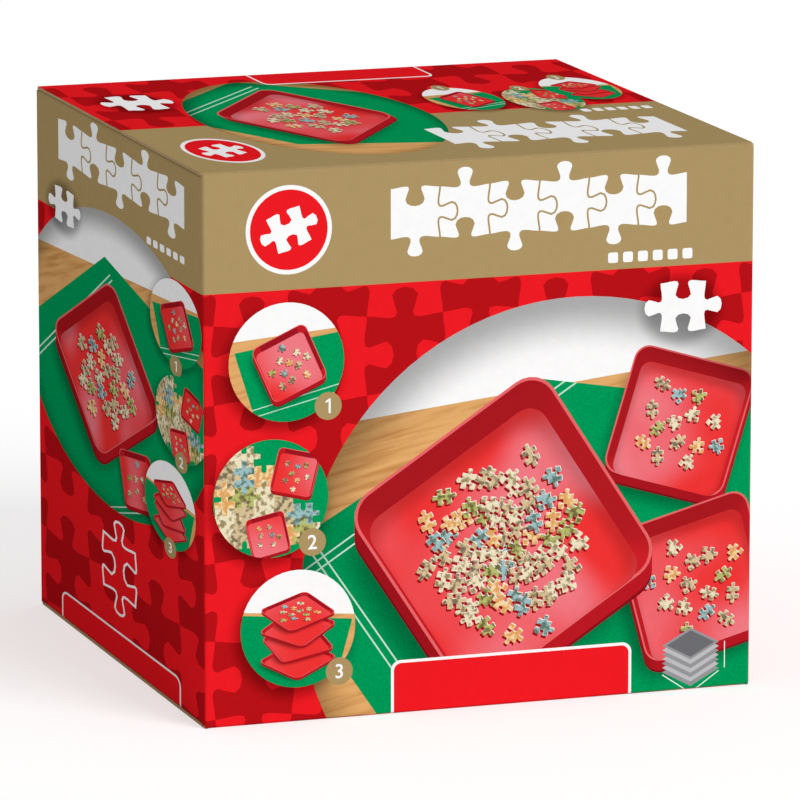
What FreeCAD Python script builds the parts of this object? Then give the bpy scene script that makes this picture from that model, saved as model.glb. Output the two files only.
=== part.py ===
# Printed tuck-top carton holding a nested stack of square puzzle sorting trays, in millimetres.
# The origin is the centre of the carton's underside: +X right, +Y back, +Z up, the front facing -Y.
import FreeCAD
import Part
import math
import os

Vector = FreeCAD.Vector

# Trays: foot below, straight drafted wall above, open top
TRAY_COUNT = 6
TRAY_SIZE = 200.0
TRAY_HEIGHT = 15.0
TRAY_CORNER_RADIUS = 22.0
TRAY_WALL = 1.8
TRAY_FLOOR = 1.8
TRAY_DRAFT_DEG = 2.5
TRAY_NEST_DEPTH = 3.0
TRAY_NEST_FIT = 0.4
TRAY_RIM_CHAMFER = 0.5
TRAY_FOOT_CHAMFER = 0.7
TRAY_INSIDE_CHAMFER = 0.9
TRAY_LEDGE_CHAMFER = 0.4

# Carton: one die-cut blank of fine corrugated board, folded and glued
BOARD = 1.0
CREASE_RADIUS = 0.2
CREASE_RELIEF = 0.3
TRAY_SIDE_ROOM = 3.0
CARTON_HEIGHT = 200.0
LID_GAP = 0.2
PANEL_EDGE_INSET = 0.2
TUCK_LENGTH = 24.0
TUCK_CORNER_RADIUS = 12.0
TUCK_SIDE_ROOM = 0.8
TUCK_FRONT_GAP = 0.3
TUCK_LEAN_MARGIN_DEG = 1.5
DUST_FLAP_REACH = 62.0
DUST_FLAP_TAPER = 14.0
DUST_FLAP_SHOULDER = 9.0
DUST_FLAP_CORNER_RADIUS = 10.0
DUST_FLAP_TUCK_ROOM = 0.5
GLUE_FLAP_REACH = 16.0
GLUE_FLAP_TAPER = 6.0
GLUE_FLAP_END_ROOM = 6.0
BASE_FLAP_REACH = 52.0
BASE_FLAP_MITRE_ROOM = 1.0

# Worked out from the sizes above
FOLD = CREASE_RADIUS + BOARD
WIDTH = TRAY_SIZE + 2 * (TRAY_SIDE_ROOM + BOARD)
DEPTH = WIDTH
HALF_W = WIDTH / 2
HALF_D = DEPTH / 2
DRAFT_SLOPE = math.tan(math.radians(TRAY_DRAFT_DEG))
STACK_PITCH = TRAY_HEIGHT - TRAY_NEST_DEPTH
STACK_BASE = 2 * BOARD
RIM_LEVEL = CARTON_HEIGHT - FOLD - LID_GAP
FRONT_LEVEL = CARTON_HEIGHT - PANEL_EDGE_INSET
DUST_LEVEL = CARTON_HEIGHT - BOARD - LID_GAP
TUCK_FACE = -HALF_D + BOARD + TUCK_FRONT_GAP
TUCK_LEAN_DEG = math.degrees(math.atan(TUCK_LENGTH / (2 * DEPTH))) + TUCK_LEAN_MARGIN_DEG

UP = Vector(0, 0, 1)
DOWN = Vector(0, 0, -1)
LEFT = Vector(-1, 0, 0)
RIGHT = Vector(1, 0, 0)
FRONT = Vector(0, -1, 0)
BACK = Vector(0, 1, 0)


def box(x_range, y_range, z_range):
    """Block between two X, two Y and two Z planes."""
    size = [high - low for low, high in (x_range, y_range, z_range)]
    return Part.makeBox(*size, Vector(x_range[0], y_range[0], z_range[0]))


def rounded_route(points, radius):
    """Edges along an open route whose inner corners are rounded with tangent arcs."""
    edges = []
    start = points[0]
    for before, corner, after in zip(points, points[1:], points[2:]):
        to_before = (before - corner).normalize()
        to_after = (after - corner).normalize()
        turn = math.pi - to_before.getAngle(to_after)
        setback = radius * math.tan(turn / 2)
        arc_start = corner + to_before * setback
        arc_end = corner + to_after * setback
        middle = (to_before + to_after).normalize()
        arc_middle = corner + middle * (radius / math.cos(turn / 2) - radius)
        edges.append(Part.makeLine(start, arc_start))
        edges.append(Part.Arc(arc_start, arc_middle, arc_end).toShape())
        start = arc_end
    edges.append(Part.makeLine(start, points[-1]))
    return edges


def outline_face(points, corner_radii):
    """Flat face of a closed outline, each corner rounded by its own radius where that is not zero."""
    edges = []
    count = len(points)
    ends = []
    for index, corner in enumerate(points):
        radius = corner_radii[index]
        to_before = (points[index - 1] - corner).normalize()
        to_after = (points[(index + 1) % count] - corner).normalize()
        turn = math.pi - to_before.getAngle(to_after)
        setback = radius * math.tan(turn / 2)
        ends.append((corner + to_before * setback, corner + to_after * setback))
        if radius > 0:
            middle = (to_before + to_after).normalize()
            arc_middle = corner + middle * (radius / math.cos(turn / 2) - radius)
            edges.append(Part.Arc(ends[-1][0], arc_middle, ends[-1][1]).toShape())
    for index in range(count):
        edges.append(Part.makeLine(ends[index][1], ends[(index + 1) % count][0]))
    return Part.Face(Part.Wire(Part.__sortEdges__(edges)))


def edge_placement(outward, towards, origin):
    """Placement of a flap at a panel's edge: the flap's +X runs inward and its +Z on past the panel's end."""
    inward = outward * -1
    along = towards.cross(inward)
    return FreeCAD.Placement(origin, FreeCAD.Rotation(inward, along, towards, "XZY"))


def bend(crease_range, angle):
    """Board bent round a crease along Y; the panel's outer face is x = 0, the crease's outer limit z = 0."""
    low, high = crease_range
    corners = [
        Vector(0, low, -FOLD),
        Vector(BOARD, low, -FOLD),
        Vector(BOARD, high, -FOLD),
        Vector(0, high, -FOLD),
    ]
    section = Part.Face(Part.makePolygon(corners + corners[:1]))
    return section.revolve(Vector(FOLD, 0, -FOLD), Vector(0, 1, 0), angle)


def bent_flap(crease_range, outline, corner_radii, angle=90.0):
    """Bend plus the flat flap beyond it; outline points are (distance from the crease limit, place along it)."""
    flat = [Vector(0, along, reach - 2 * FOLD) for reach, along in outline]
    plate = outline_face(flat, corner_radii).extrude(Vector(BOARD, 0, 0))
    plate.rotate(Vector(FOLD, 0, -FOLD), Vector(0, 1, 0), angle)
    return bend(crease_range, angle).fuse(plate)


def plain_outline(reach, root_half, tip_half):
    """Symmetric flap outline from the end of its bend to its tip."""
    return [(FOLD, -root_half), (reach, -tip_half), (reach, tip_half), (FOLD, root_half)]


def placed(shape, outward, towards, origin):
    """The shape moved to a panel's edge."""
    shape.Placement = edge_placement(outward, towards, origin)
    return shape


def sleeve():
    """The four walls round the carton, open at the rear left corner where the glue flap closes them."""
    seam_end = -HALF_W + BOARD + FOLD
    outer_points = [
        Vector(-HALF_W, HALF_D, 0),
        Vector(-HALF_W, -HALF_D, 0),
        Vector(HALF_W, -HALF_D, 0),
        Vector(HALF_W, HALF_D, 0),
        Vector(seam_end, HALF_D, 0),
    ]
    inner_points = [
        Vector(-HALF_W + BOARD, HALF_D, 0),
        Vector(-HALF_W + BOARD, -HALF_D + BOARD, 0),
        Vector(HALF_W - BOARD, -HALF_D + BOARD, 0),
        Vector(HALF_W - BOARD, HALF_D - BOARD, 0),
        Vector(seam_end, HALF_D - BOARD, 0),
    ]
    edges = rounded_route(outer_points, FOLD) + rounded_route(inner_points, CREASE_RADIUS)
    edges.append(Part.makeLine(outer_points[0], inner_points[0]))
    edges.append(Part.makeLine(outer_points[-1], inner_points[-1]))
    profile = Part.Face(Part.Wire(Part.__sortEdges__(edges)))
    return profile.extrude(Vector(0, 0, FRONT_LEVEL))


def dust_crease():
    """Range along Y of the dust flaps' creases, clear of the leaning tuck flap in front."""
    tuck_back = TUCK_FACE + BOARD / math.cos(math.radians(TUCK_LEAN_DEG)) + CREASE_RADIUS
    lean_shift = (2 * BOARD + LID_GAP) * math.tan(math.radians(TUCK_LEAN_DEG))
    return tuck_back + lean_shift + DUST_FLAP_TUCK_ROOM, HALF_D - FOLD - 2 * CREASE_RELIEF


def base_crease_half(half_span):
    """Half length of an inner bottom flap's crease, clear of the glue seam and of the corner folds."""
    return half_span - BOARD - 2 * FOLD


def trimmed_sleeve():
    """The sleeve with its ends cut to each panel's own crease or edge."""
    behind_front = (-HALF_D + FOLD, HALF_D + FOLD)
    across = (-HALF_W - FOLD, HALF_W + FOLD)
    front_half = HALF_W - FOLD
    back_half = base_crease_half(HALF_W) + CREASE_RELIEF
    side_half = base_crease_half(HALF_D) + CREASE_RELIEF
    dust_low, dust_high = dust_crease()
    above = CARTON_HEIGHT + FOLD
    cuts = [
        box(across, behind_front, (RIM_LEVEL, above)),
        box(across, behind_front, (-FOLD, BOARD)),
        box((-front_half, front_half), (-HALF_D - FOLD, -HALF_D + FOLD), (-FOLD, FOLD)),
        box((-back_half, back_half), (HALF_D - FOLD, HALF_D + FOLD), (-FOLD, BOARD + FOLD)),
    ]
    for side in (-1, 1):
        x_range = sorted((side * (HALF_W - FOLD), side * (HALF_W + FOLD)))
        dust_slot = (dust_low - CREASE_RELIEF, dust_high + CREASE_RELIEF)
        cuts.append(box(x_range, dust_slot, (DUST_LEVEL - FOLD, above)))
        cuts.append(box(x_range, (-side_half, side_half), (-FOLD, BOARD + FOLD)))
    return sleeve().cut(cuts)


def glued_seam():
    """Rear left corner: the back wall's end bend with the glue flap that is bonded inside the left wall."""
    low = BOARD + FOLD + GLUE_FLAP_END_ROOM
    high = DUST_LEVEL - FOLD - GLUE_FLAP_END_ROOM
    middle = (low + high) / 2
    half = (high - low) / 2
    tip_half = half - GLUE_FLAP_TAPER
    flap = bent_flap((-half, half), plain_outline(GLUE_FLAP_REACH, half, tip_half), [0] * 4)
    corner_bend = bend((BOARD - middle, RIM_LEVEL - middle), 90.0)
    origin = Vector(-HALF_W + BOARD, HALF_D, middle)
    return placed(flap.fuse(corner_bend), BACK, LEFT, origin)


def dust_flap(outward):
    """Side flap under the lid: square at the back, cut back in a shoulder and a taper at the front."""
    low, high = dust_crease()
    middle = (low + high) / 2
    half = (high - low) / 2
    front_sign = 1 if outward == LEFT else -1
    outline = [
        (FOLD, -half * front_sign),
        (DUST_FLAP_SHOULDER, -half * front_sign),
        (DUST_FLAP_REACH, -(half - DUST_FLAP_TAPER) * front_sign),
        (DUST_FLAP_REACH, half * front_sign),
        (FOLD, half * front_sign),
    ]
    radii = [0, 0, DUST_FLAP_CORNER_RADIUS, DUST_FLAP_CORNER_RADIUS, 0]
    flap = bent_flap((-half, half), outline, radii)
    origin = Vector(outward.x * HALF_W, middle, DUST_LEVEL)
    return placed(flap, outward, UP, origin)


def base_flap(outward, crease_half):
    """Inner bottom flap, mitred at both ends so that its neighbours lie in the same plane."""
    reach = BASE_FLAP_REACH
    root_half = crease_half - BASE_FLAP_MITRE_ROOM
    flap = bent_flap(
        (-crease_half, crease_half),
        plain_outline(reach, root_half, root_half - (reach - FOLD)),
        [0] * 4,
    )
    origin = Vector(outward.x * HALF_W, outward.y * HALF_D, BOARD)
    return placed(flap, outward, DOWN, origin)


def base_panel():
    """Outer bottom panel, folded back from the front wall over the inner flaps and glued to them."""
    crease_half = HALF_W - FOLD - CREASE_RELIEF
    panel_half = HALF_W - PANEL_EDGE_INSET
    reach = DEPTH - PANEL_EDGE_INSET
    outline = [
        (FOLD, -crease_half),
        (2 * FOLD, -crease_half),
        (2 * FOLD, -panel_half),
        (reach, -panel_half),
        (reach, panel_half),
        (2 * FOLD, panel_half),
        (2 * FOLD, crease_half),
        (FOLD, crease_half),
    ]
    panel = bent_flap((-crease_half, crease_half), outline, [0] * len(outline))
    return placed(panel, FRONT, DOWN, Vector(0, -HALF_D, 0))


def carton_body():
    """Walls, glue flap, dust flaps and glued bottom, all one folded blank."""
    pieces = [
        glued_seam(),
        dust_flap(LEFT),
        dust_flap(RIGHT),
        base_flap(LEFT, base_crease_half(HALF_D)),
        base_flap(RIGHT, base_crease_half(HALF_D)),
        base_flap(BACK, base_crease_half(HALF_W)),
        base_panel(),
    ]
    return trimmed_sleeve().fuse(pieces).removeSplitter()


def tuck_lid():
    """Top panel hinged on the back wall's crease, with the tuck flap bent down inside the front wall."""
    panel_half = HALF_W - PANEL_EDGE_INSET
    panel_reach = HALF_D - TUCK_FACE - FOLD
    panel = bent_flap((-panel_half, panel_half), plain_outline(panel_reach, panel_half, panel_half), [0] * 4)
    panel = placed(panel, BACK, UP, Vector(0, HALF_D, CARTON_HEIGHT))
    tuck_half = HALF_W - BOARD - TUCK_SIDE_ROOM
    tuck = bent_flap(
        (-panel_half, panel_half),
        plain_outline(TUCK_LENGTH, tuck_half, tuck_half),
        [0, TUCK_CORNER_RADIUS, TUCK_CORNER_RADIUS, 0],
        90.0 + TUCK_LEAN_DEG,
    )
    tuck = placed(tuck, UP, FRONT, Vector(0, TUCK_FACE, CARTON_HEIGHT))
    return panel.fuse(tuck).removeSplitter()


def chamfered(corners):
    """Outline points of a closed polygon given as (point, cut), with a cut of that length at each corner."""
    points = []
    for index, (corner, cut) in enumerate(corners):
        if cut == 0:
            points.append(corner)
            continue
        before = corners[index - 1][0]
        after = corners[(index + 1) % len(corners)][0]
        points.append(corner + (before - corner).normalize() * cut)
        points.append(corner + (after - corner).normalize() * cut)
    return points


def tray_section():
    """Upright section of a tray's edge from its outer side in to a corner's centre, drawn at the right wall."""
    foot = TRAY_WALL + TRAY_NEST_FIT
    foot_draft = TRAY_NEST_DEPTH * DRAFT_SLOPE
    ledge = TRAY_NEST_DEPTH + TRAY_FLOOR
    corners = [
        (0.0, TRAY_HEIGHT, TRAY_RIM_CHAMFER),
        ((TRAY_HEIGHT - TRAY_NEST_DEPTH) * DRAFT_SLOPE, TRAY_NEST_DEPTH, 0),
        (foot, TRAY_NEST_DEPTH, 0),
        (foot + foot_draft, 0.0, TRAY_FOOT_CHAMFER),
        (TRAY_CORNER_RADIUS, 0.0, 0),
        (TRAY_CORNER_RADIUS, TRAY_FLOOR, 0),
        (foot + TRAY_WALL + foot_draft, TRAY_FLOOR, TRAY_INSIDE_CHAMFER),
        (foot + TRAY_WALL, ledge, TRAY_LEDGE_CHAMFER),
        (TRAY_WALL + (TRAY_HEIGHT - ledge) * DRAFT_SLOPE, ledge, TRAY_LEDGE_CHAMFER),
        (TRAY_WALL, TRAY_HEIGHT, TRAY_RIM_CHAMFER),
    ]
    points = chamfered([(Vector(TRAY_SIZE / 2 - inset, 0, z), cut) for inset, z, cut in corners])
    return Part.Face(Part.makePolygon(points + points[:1]))


def tray():
    """One moulded tray: floor, foot that drops into the tray below, shoulder, drafted wall and bevelled rim."""
    centre = TRAY_SIZE / 2 - TRAY_CORNER_RADIUS
    pieces = []
    for quarter in range(4):
        section = tray_section()
        section.translate(Vector(0, -centre, 0))
        side = section.extrude(Vector(0, 2 * centre, 0))
        section.translate(Vector(0, 2 * centre, 0))
        corner = section.revolve(Vector(centre, centre, 0), UP, 90.0)
        for piece in (side, corner):
            piece.rotate(Vector(0, 0, 0), UP, 90.0 * quarter)
            pieces.append(piece)
    floor = box((-centre, centre), (-centre, centre), (0.0, TRAY_FLOOR))
    return floor.fuse(pieces).removeSplitter()


def save(name, shape):
    """Write one piece and print what it measures."""
    bounds = shape.BoundBox
    print(
        f"{name}: solids {len(shape.Solids)} valid {shape.isValid()} volume {shape.Volume:.1f}"
        f" x {bounds.XMin:.2f} {bounds.XMax:.2f} y {bounds.YMin:.2f} {bounds.YMax:.2f}"
        f" z {bounds.ZMin:.2f} {bounds.ZMax:.2f}"
    )
    shape.exportStep(os.path.join("parts", name + ".step"))


os.makedirs("parts", exist_ok=True)
save("carton_body", carton_body())
save("tuck_lid", tuck_lid())
for index in range(TRAY_COUNT):
    piece = tray()
    piece.translate(Vector(0, 0, STACK_BASE + index * STACK_PITCH))
    save(f"tray_{index + 1}", piece)
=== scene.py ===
import logging
import math
from dataclasses import dataclass, field
from enum import Enum
from functools import cached_property
from typing import Optional, Sequence, Union

import bmesh
import bpy
from mathutils import Matrix, Vector
from mathutils.geometry import delaunay_2d_cdt


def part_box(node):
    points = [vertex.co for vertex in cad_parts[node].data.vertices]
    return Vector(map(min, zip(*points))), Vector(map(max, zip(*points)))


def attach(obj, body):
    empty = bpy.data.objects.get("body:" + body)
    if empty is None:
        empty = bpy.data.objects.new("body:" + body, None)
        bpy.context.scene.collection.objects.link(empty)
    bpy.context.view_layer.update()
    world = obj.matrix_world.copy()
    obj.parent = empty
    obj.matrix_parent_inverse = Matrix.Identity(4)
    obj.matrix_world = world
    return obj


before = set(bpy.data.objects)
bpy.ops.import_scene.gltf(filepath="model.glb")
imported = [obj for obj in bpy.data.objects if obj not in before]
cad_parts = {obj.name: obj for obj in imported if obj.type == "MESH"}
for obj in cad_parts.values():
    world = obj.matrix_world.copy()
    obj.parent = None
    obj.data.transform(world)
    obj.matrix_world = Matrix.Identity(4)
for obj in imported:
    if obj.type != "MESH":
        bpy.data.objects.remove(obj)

LOG = logging.getLogger("carton")
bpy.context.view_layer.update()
Point = tuple[float, float]
Triple = tuple[float, float, float]
Outline = list[Point]
Socket = bpy.types.NodeSocket
Value = Union[Socket, float, Sequence[float]]
Inputs = dict[Union[str, int], Value]

# Lengths are in millimetres, apart from those that a material or the studio gives in metres.
MM = 0.001
BODY_LOW, BODY_HIGH = (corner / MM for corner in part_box("carton_body"))
LID_LOW, LID_HIGH = (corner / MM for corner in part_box("tuck_lid"))
SIZE = BODY_HIGH.x - BODY_LOW.x
HEIGHT = LID_HIGH.z

# Board and folds, as the CAD carton has them
BOARD = 1.0
FOLD = 1.2
CREASE_RELIEF = 0.3
LID_GAP = 0.2
EDGE_INSET = 0.2
RIM_LEVEL = HEIGHT - FOLD - LID_GAP
DUST_LEVEL = HEIGHT - BOARD - LID_GAP
DUST_FRONT, DUST_BACK = 3.2, 1.8
DUST_REACH, DUST_SHOULDER, DUST_TAPER, DUST_CORNER = 62.0, 9.0, 14.0, 10.0
TUCK_SIDE, TUCK_REACH, TUCK_CORNER, TUCK_ARC = 1.8, 24.0, 12.0, 94.8
BASE_SIDE, BASE_FLAP_HALF = 1.5, 100.6

# Printed sheet
SHEET = 0.1
ARC_STEPS = 4
HALF_FOLD = 45.0
HALF_ARC = FOLD * math.pi / 4
HINGE_ARC = 52.0
SWING_ROOM = 0.4
FOLD_REACH = 1e-3
SAME_POINT = 1e-6

# Artwork
HEADER = 43.0
BLEED = 10.0
DUST_PRINT = (4.0, 76.0)
CELL = 28.5
PATTERN_START = (4.0, 3.0)
KNOB = 0.14
CHAIN_GAP = 0.35
SIDE_STRETCH = 2.0
GOLDEN_ANGLE = 137.5
NUMERAL_WEIGHT = 0.012
SHADOW_CORE, SHADOW_SHIFT, SHADOW_SLOPE = 0.86, 0.07, 1.6
FLAGGED_ONE = (
    (0.03, -0.5), (0.18, -0.5), (0.18, 0.5), (0.06, 0.5), (-0.18, 0.34), (-0.18, 0.2), (0.03, 0.32),
)

# Printed trays, as shares of a tray's side, of its corner radius or of its front side's height
FRONT_HEIGHT, FRONT_STEPS, CORNER_RADIUS = 0.085, 6, 0.12
WALL_SIDE, WALL_CORNER = 0.975, 0.93
FLOOR_SIDE, FLOOR_CORNER, FLOOR_DROP = 0.885, 0.72, 0.75
PIECE_SIDE, FLAT_PIECE_SIDE, PIECE_SPREAD = 0.086, 0.1, 0.36
LARGEST_PIECE = 5.4


class Texture(Enum):
    """What a colour shows besides its tone: its noise's repeats in a metre, octaves and span."""

    PLAIN = ()
    WOOD = (1.0, 4.0, (0.42, 0.78))
    MAT = (1500.0, 2.0, (0.35, 0.75))
    SHEEN = (22.0, 1.0, (0.4, 0.72))
    PICTURE = (520.0, 3.0, (0.44, 0.62))


@dataclass(frozen=True)
class Ink:
    """One printed colour of the carton's coated sheet.

    Attributes:
        name: the colour's name.
        tone: sRGB colour, 0 to 255.
        second: sRGB colour that its texture mixes in.
        texture: how the two are mixed.
    """

    name: str
    tone: tuple[int, int, int]
    second: tuple[int, int, int] = (0, 0, 0)
    texture: Texture = Texture.PLAIN


TAN = Ink("tan", (174, 149, 101))
BRIGHT_RED = Ink("bright_red", (238, 28, 36))
DARK_RED = Ink("dark_red", (183, 18, 24))
WHITE = Ink("white", (252, 252, 252))
GREY = Ink("grey", (150, 152, 155))
PALE_GREY = Ink("pale_grey", (190, 192, 195))
DARK_GREY = Ink("dark_grey", (108, 110, 114))
OAK = Ink("oak", (228, 174, 110), (196, 136, 76), Texture.WOOD)
MAT_GREEN = Ink("mat_green", (0, 160, 93), (0, 140, 80), Texture.MAT)
MAT_LINE = Ink("mat_line", (196, 232, 214))
TRAY_LOW = Ink("tray_low", (128, 16, 26))
TRAY_SIDE = Ink("tray_side", (178, 24, 34))
TRAY_RIM = Ink("tray_rim", (232, 104, 106))
WALL_DARK = Ink("wall_dark", (158, 22, 32))
WALL_MIDDLE = Ink("wall_middle", (192, 30, 38))
WALL_LIGHT = Ink("wall_light", (226, 58, 62))
TRAY_FLOOR = Ink("tray_floor", (238, 52, 52), (240, 128, 138), Texture.SHEEN)
PIECE_SHADE = Ink("piece_shade", (150, 18, 26))
PIECE_EDGE = Ink("piece_edge", (250, 246, 232))
CREAM = Ink("cream", (238, 228, 194), (158, 138, 98), Texture.PICTURE)
SKY = Ink("sky", (158, 194, 196), (96, 124, 112), Texture.PICTURE)
AMBER = Ink("amber", (224, 164, 96), (244, 220, 168), Texture.PICTURE)
LIME = Ink("lime", (184, 190, 112), (116, 106, 64), Texture.PICTURE)
SAND = Ink("sand", (216, 194, 150), (124, 112, 90), Texture.PICTURE)
PIECE_INKS = (CREAM, SKY, SAND, AMBER, CREAM, LIME, SAND)


def linear(tone: Sequence[float]) -> tuple[float, ...]:
    """Shader colour of an sRGB colour that is given as 0 to 255."""
    shares = [value / 255 for value in tone]
    return (*(s / 12.92 if s <= 0.04045 else ((s + 0.055) / 1.055) ** 2.4 for s in shares), 1.0)


class Nodes:
    """Short way to add and join the nodes of one material or of the world."""

    def __init__(
        self, owner: Union[bpy.types.Material, bpy.types.World], shader: str, output: str
    ) -> None:
        """Start with a shader and nothing else.

        Args:
            owner: the material or the world.
            shader: the shader's type, without "ShaderNode".
            output: the output node's type.
        """
        owner.use_nodes = True
        self.owner, self.tree = owner, owner.node_tree
        self.tree.nodes.clear()
        self.shader = self.tree.nodes.new("ShaderNode" + shader)
        end = self.tree.nodes.new("ShaderNode" + output)
        self.tree.links.new(self.shader.outputs[0], end.inputs["Surface"])

    @classmethod
    def surface(cls, name: str) -> "Nodes":
        """Nodes of a new material."""
        return cls(bpy.data.materials.new(name), "BsdfPrincipled", "OutputMaterial")

    @cached_property
    def coordinates(self) -> Socket:
        """Object coordinates."""
        return self.add("TexCoord", {}, "Object")

    def feed(self, node: bpy.types.Node, inputs: Inputs) -> None:
        """Join sockets to a node's inputs, or set them to plain values.

        Args:
            node: the node.
            inputs: what each input gets.
        """
        for name, value in inputs.items():
            if isinstance(value, Socket):
                self.tree.links.new(value, node.inputs[name])
            else:
                node.inputs[name].default_value = value

    def add(
        self, kind: str, inputs: Inputs, output: Union[str, int] = 0, **settings: str
    ) -> Socket:
        """Add a node.

        Args:
            kind: its type, without "ShaderNode".
            inputs: what each input gets.
            output: the output that is wanted.
            settings: its properties.

        Returns:
            That output.
        """
        node = self.tree.nodes.new("ShaderNode" + kind)
        for name, value in settings.items():
            setattr(node, name, value)
        self.feed(node, inputs)
        return node.outputs[output]

    def math(self, operation: str, first: Value, second: Value) -> Socket:
        """Result of a Math node."""
        return self.add("Math", {0: first, 1: second}, operation=operation)

    def vector_math(
        self, operation: str, first: Value, second: Value = (0, 0, 0), output: str = "Vector"
    ) -> Socket:
        """Result of a Vector Math node."""
        return self.add("VectorMath", {0: first, 1: second}, output, operation=operation)

    def scaled(self, colour: Value, factor: Socket) -> Socket:
        """A colour times a number."""
        inputs = {0: colour if isinstance(colour, Socket) else colour[:3], "Scale": factor}
        return self.add("VectorMath", inputs, "Vector", operation="SCALE")

    def mix(self, share: Value, first: Value, second: Value) -> Socket:
        """Two colours mixed, with that share of the second."""
        return self.add("Mix", {0: share, 6: first, 7: second}, 2, data_type="RGBA")

    def turned(self, vector: Socket, axis: Sequence[float], degrees: float) -> Socket:
        """Coordinates turned about an axis through zero."""
        inputs = {"Vector": vector, "Axis": axis, "Angle": math.radians(degrees)}
        return self.add("VectorRotate", inputs)

    def mapped(self, vector: Socket, centre: Sequence[float], scale: Sequence[float]) -> Socket:
        """Coordinates counted from a centre and scaled along each axis."""
        moved = [-c * s for c, s in zip(centre, scale)]
        return self.add("Mapping", {"Vector": vector, "Location": moved, "Scale": scale})

    def noise(self, vector: Socket, scale: float, detail: float) -> Socket:
        """Noise with that many repeats in a unit and that many octaves."""
        return self.add("TexNoise", {"Vector": vector, "Scale": scale, "Detail": detail}, "Fac")

    def ramp(self, value: Socket, span: Point, result: Point = (0.0, 1.0)) -> Socket:
        """A value brought smoothly from one range to another."""
        ends = dict(zip(("From Min", "From Max", "To Min", "To Max"), span + result))
        return self.add("MapRange", {"Value": value, **ends}, interpolation_type="SMOOTHSTEP")

    def powers(self, vector: Socket, power: float) -> Socket:
        """Each part of a vector, without its sign, raised to a power.

        Args:
            vector: the vector.
            power: the power.

        Returns:
            The new vector.
        """
        parts = self.tree.nodes.new("ShaderNodeSeparateXYZ")
        self.feed(parts, {0: self.vector_math("ABSOLUTE", vector)})
        raised = [self.math("POWER", part, power) for part in parts.outputs]
        return self.add("CombineXYZ", dict(enumerate(raised)))

    def clouds(self, repeats: float, light: Point) -> Socket:
        """Faint clouds with that many repeats in a metre, between two brightnesses."""
        return self.ramp(self.noise(self.coordinates, repeats, 3.0), (0.3, 0.7), light)

    def bump(self, height: Socket, distance: float, strength: float) -> None:
        """Raise the surface by a height, of which 1 measures the distance in metres."""
        inputs = {"Height": height, "Distance": distance, "Strength": strength}
        self.feed(self.shader, {"Normal": self.add("Bump", inputs)})

    def seen(self) -> Socket:
        """Whether a ray comes from the camera, a reflection or clear matter.

        Returns:
            1 where it does, else 0.
        """
        rays = self.tree.nodes.new("ShaderNodeLightPath").outputs
        mirrored = self.math("MAXIMUM", rays["Is Camera Ray"], rays["Is Glossy Ray"])
        return self.math("MAXIMUM", mirrored, rays["Is Transmission Ray"])


@dataclass(frozen=True)
class Shade:
    """Soft printed shading that follows an ellipse or a rounded square.

    Attributes:
        centre: the shape's centre, in panel millimetres.
        radii: its half width and half height.
        span: shares of the radii between which the shading changes.
        light: brightness at the first and at the second of them.
        turn: how far the shape is turned, in degrees.
        power: 2 for an ellipse, more for a rounded square.
        facing: direction that gets the second brightness, in degrees, where the shading
            follows the way that the shape's sides face and not the distance.
    """

    centre: Point
    radii: Point
    span: Point
    light: Point
    turn: float = 0.0
    power: float = 2.0
    facing: Optional[float] = None


@dataclass(frozen=True)
class Layer:
    """One printed shape: its colour, outline, the layers that clip it and its soft shading."""

    ink: Ink
    outline: tuple[Point, ...]
    windows: tuple[int, ...]
    shades: tuple[Shade, ...]


@dataclass(frozen=True)
class Crease:
    """Fold along a panel's lower or upper edge.

    Attributes:
        start: where the bend starts, from the panel's lower edge.
        edge: where the sheet ends beside the bend.
        low: left end of the bend.
        high: right end of the bend.
        angle: how far the sheet goes round it, in degrees.
        relief: width of the notch beside it.
        flap: outline of a flat flap beyond the bend: places along it and distances from it.
    """

    start: float
    edge: float
    low: float
    high: float
    angle: float = HALF_FOLD
    relief: float = CREASE_RELIEF
    flap: tuple[Point, ...] = ()

    @property
    def arc(self) -> float:
        """Length of the sheet round the bend."""
        return FOLD * math.radians(self.angle)


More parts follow.
